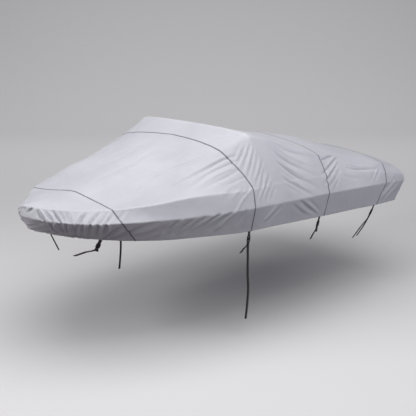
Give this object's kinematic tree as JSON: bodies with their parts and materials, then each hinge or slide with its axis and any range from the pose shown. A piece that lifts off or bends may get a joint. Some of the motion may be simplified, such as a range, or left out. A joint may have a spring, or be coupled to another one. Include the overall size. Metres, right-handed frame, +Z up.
{
  "type": "boat cover",
  "caption": "Trailering cover for a small runabout, draped from bow to transom over a windshield, with a skirt, cross seams and buckled tie-down straps along its hem.",
  "frame": {"origin": "under the cloth's crest over the windshield, on the centreline, where the boat's windshield carries it", "axes": "+X to the bow, +Y to port, +Z up"},
  "size_m": [4.4987, 2.2399, 1.8386],
  "materials": {
    "cover_cloth": "light grey polyester cloth with a matt coating",
    "webbing": "black woven polyester webbing, matt",
    "buckle": "black moulded acetal, fine matt grain"
  },
  "bodies": {
    "root": {"panel_1_stern": "cover_cloth", "panel_2_aft": "cover_cloth", "panel_3_windshield": "cover_cloth", "panel_4_foredeck": "cover_cloth", "panel_5_bow": "cover_cloth", "strap_1_port_buckle": "buckle", "strap_1_port_hem_loop": "webbing", "strap_1_port_webbing": "webbing", "strap_1_starboard_buckle": "buckle", "strap_1_starboard_hem_loop": "webbing", "strap_1_starboard_webbing": "webbing", "strap_2_port_buckle": "buckle", "strap_2_port_hem_loop": "webbing", "strap_2_port_webbing": "webbing", "strap_2_starboard_buckle": "buckle", "strap_2_starboard_hem_loop": "webbing", "strap_2_starboard_webbing": "webbing", "strap_3_port_buckle": "buckle", "strap_3_port_hem_loop": "webbing", "strap_3_port_webbing": "webbing", "strap_3_starboard_buckle": "buckle", "strap_3_starboard_hem_loop": "webbing", "strap_3_starboard_webbing": "webbing", "strap_4_port_buckle": "buckle", "strap_4_port_hem_loop": "webbing", "strap_4_port_webbing": "webbing", "strap_4_starboard_buckle": "buckle", "strap_4_starboard_hem_loop": "webbing", "strap_4_starboard_webbing": "webbing"}
  },
  "joints": []
}
